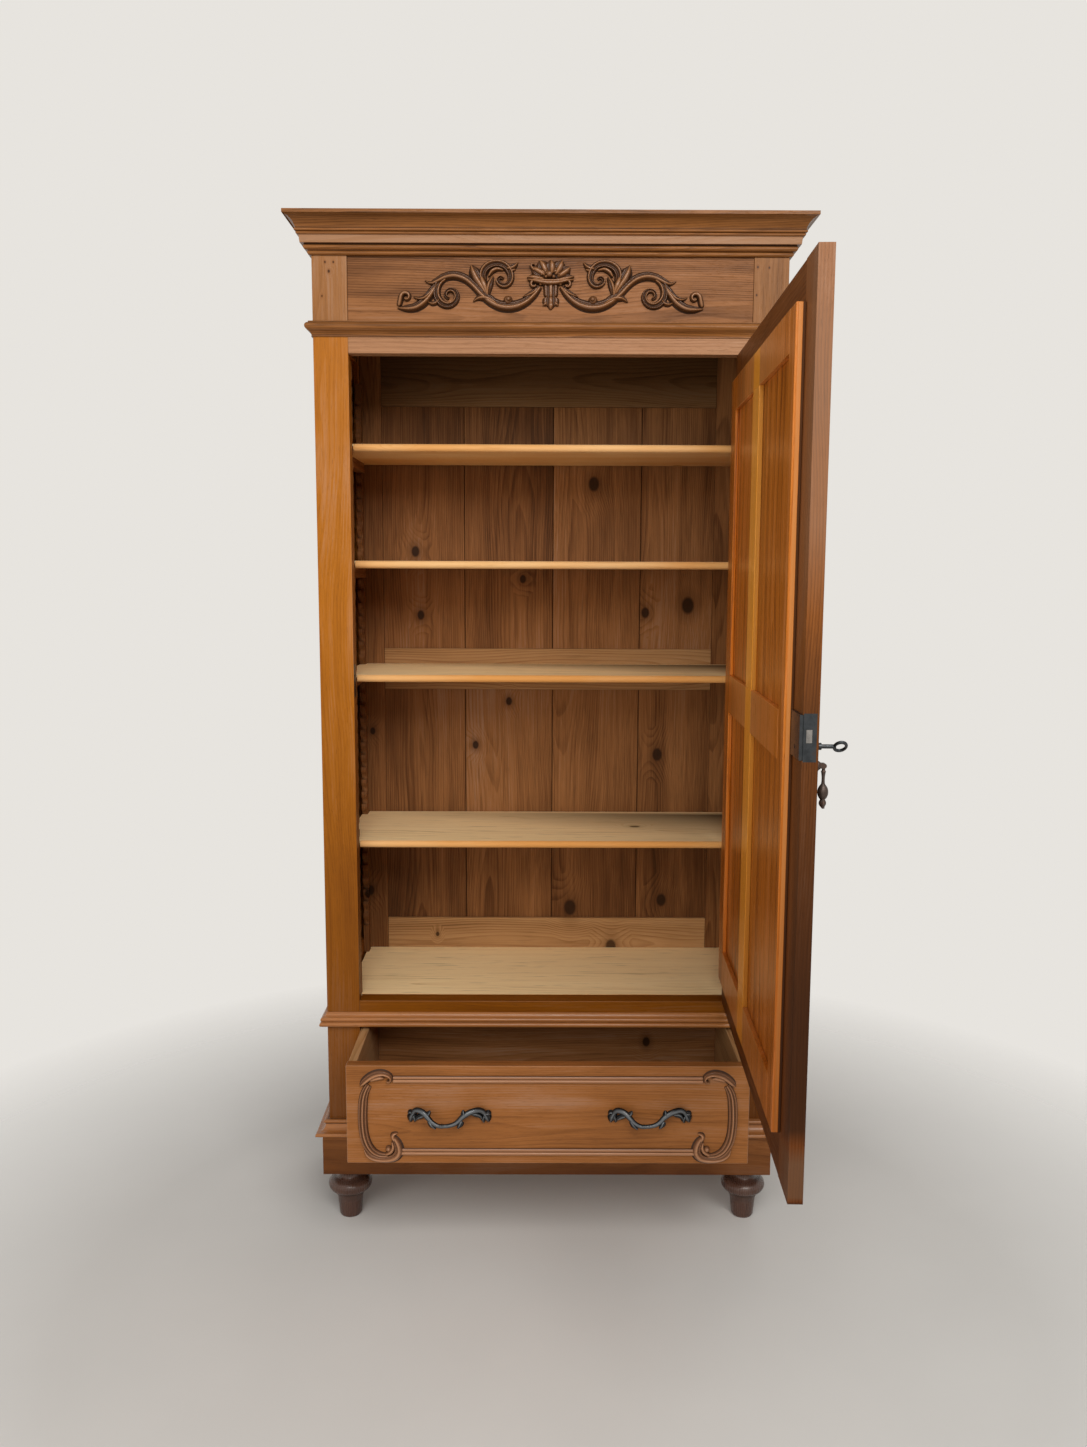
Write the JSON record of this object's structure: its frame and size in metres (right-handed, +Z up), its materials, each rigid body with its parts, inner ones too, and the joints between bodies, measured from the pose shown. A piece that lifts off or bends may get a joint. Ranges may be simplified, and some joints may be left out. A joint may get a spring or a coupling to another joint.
{
  "type": "single-door cupboard with drawer",
  "caption": "Tall walnut linen cupboard with a hinged mirror door, lift-out shelves on notched racks, a sliding drawer, carved frieze, moulded cornice and turned feet.",
  "frame": {"origin": "on the floor, under the middle of the box that the cupboard fills as it stands, with its door open and its drawer pulled out", "axes": "+X to the right of someone facing the front, +Y to the back, +Z up"},
  "size_m": [1.012, 1.181, 2.053],
  "materials": {
    "walnut": "waxed",
    "walnut_stile": "waxed",
    "walnut_dark": "waxed",
    "walnut_carved": "waxed",
    "walnut_backing": "varnished",
    "pine": "worn",
    "pine_back": "aged",
    "mirror_glass": "polished",
    "iron": "dark",
    "steel": "worn"
  },
  "bodies": {
    "carcass": {"back_boards_base": "pine_back", "back_boards_lower": "pine_back", "back_boards_upper": "pine_back", "back_rails": "pine_back", "back_stiles": "pine_back", "base_board": "pine_back", "base_moulding": "walnut", "base_rail": "pine_back", "bottom_rail": "walnut_stile", "carved_basket": "walnut_carved", "carved_scrolls": "walnut_carved", "cornice_back": "pine_back", "cornice_moulding": "walnut", "drawer_kickers": "pine_back", "drawer_runners": "pine_back", "feet": "walnut_dark", "floor_board": "pine", "frieze_board": "walnut", "frieze_moulding": "walnut", "hinge_leaves_post": "iron", "plinth": "walnut", "post_front_left": "walnut_stile", "post_front_right": "walnut_stile", "posts_rear": "walnut_stile", "shelf_cleats": "pine", "shelf_racks": "pine_back", "side_panels": "walnut_stile", "side_rails": "walnut_stile", "strike_plate": "iron", "top_board": "pine_back", "top_rail": "walnut", "waist_moulding": "walnut"},
    "door": {"door_stile_hinge": "walnut_dark", "door_stile_lock": "walnut_dark", "door_rail_top": "walnut_dark", "door_rail_low": "walnut_dark", "mirror": "mirror_glass", "mirror_moulding": "walnut_dark", "backing_stiles": "walnut_backing", "backing_rails": "walnut_backing", "backing_muntins": "walnut_backing", "backing_panels": "walnut_backing", "hinge_leaves_door": "iron", "lock_case": "iron", "keyhole_plate": "iron", "pull_boss": "iron"},
    "drawer": {"drawer_front": "walnut", "drawer_sides": "pine", "drawer_bottom": "pine", "drawer_back": "pine", "drawer_beads": "walnut_carved", "drawer_scrolls": "walnut_carved", "drawer_pulls": "iron"},
    "key": {"key": "steel"},
    "bolt": {"lock_bolt": "steel"},
    "drop": {"drop_pull": "iron"},
    "shelf_1": {"shelf_1": "pine"},
    "shelf_2": {"shelf_2": "pine"},
    "shelf_3": {"shelf_3": "pine"},
    "shelf_4": {"shelf_4": "pine"}
  },
  "joints": [
    {"name": "door_hinge", "type": "hinge", "parent": "carcass", "child": "door", "pos_m": [0.3915, 0.19073, 1.144], "axis": [0, 0, 1], "range_deg": [-88, 80]},
    {"name": "drawer_slide", "type": "slide", "parent": "carcass", "child": "drawer", "axis": [0, -1, 0], "range_m": [-0.195, 0.105]},
    {"name": "key_turn", "type": "hinge", "parent": "door", "child": "key", "pos_m": [0.35786, -0.55755, 1.143], "axis": [0.9994, -0.0349, 0], "range_deg": [0, 360]},
    {"name": "bolt_slide", "type": "slide", "parent": "door", "child": "bolt", "axis": [-0.0349, -0.9994, 0], "range_m": [0, 0.013]},
    {"name": "drop_swing", "type": "hinge", "parent": "door", "child": "drop", "pos_m": [0.3683, -0.57393, 1.119], "axis": [-0.0349, -0.9994, 0], "range_deg": [0, 80]},
    {"name": "shelf_1_lift", "type": "slide", "parent": "carcass", "child": "shelf_1", "axis": [0, 0, 1], "range_m": [0, 0.05]},
    {"name": "shelf_2_lift", "type": "slide", "parent": "carcass", "child": "shelf_2", "axis": [0, 0, 1], "range_m": [0, 0.05]},
    {"name": "shelf_3_lift", "type": "slide", "parent": "carcass", "child": "shelf_3", "axis": [0, 0, 1], "range_m": [0, 0.05]},
    {"name": "shelf_4_lift", "type": "slide", "parent": "carcass", "child": "shelf_4", "axis": [0, 0, 1], "range_m": [0, 0.05]}
  ],
  "couplings": [
    {"joint": "key_turn", "follows": "bolt_slide", "rad_per_m": 483.3}
  ]
}
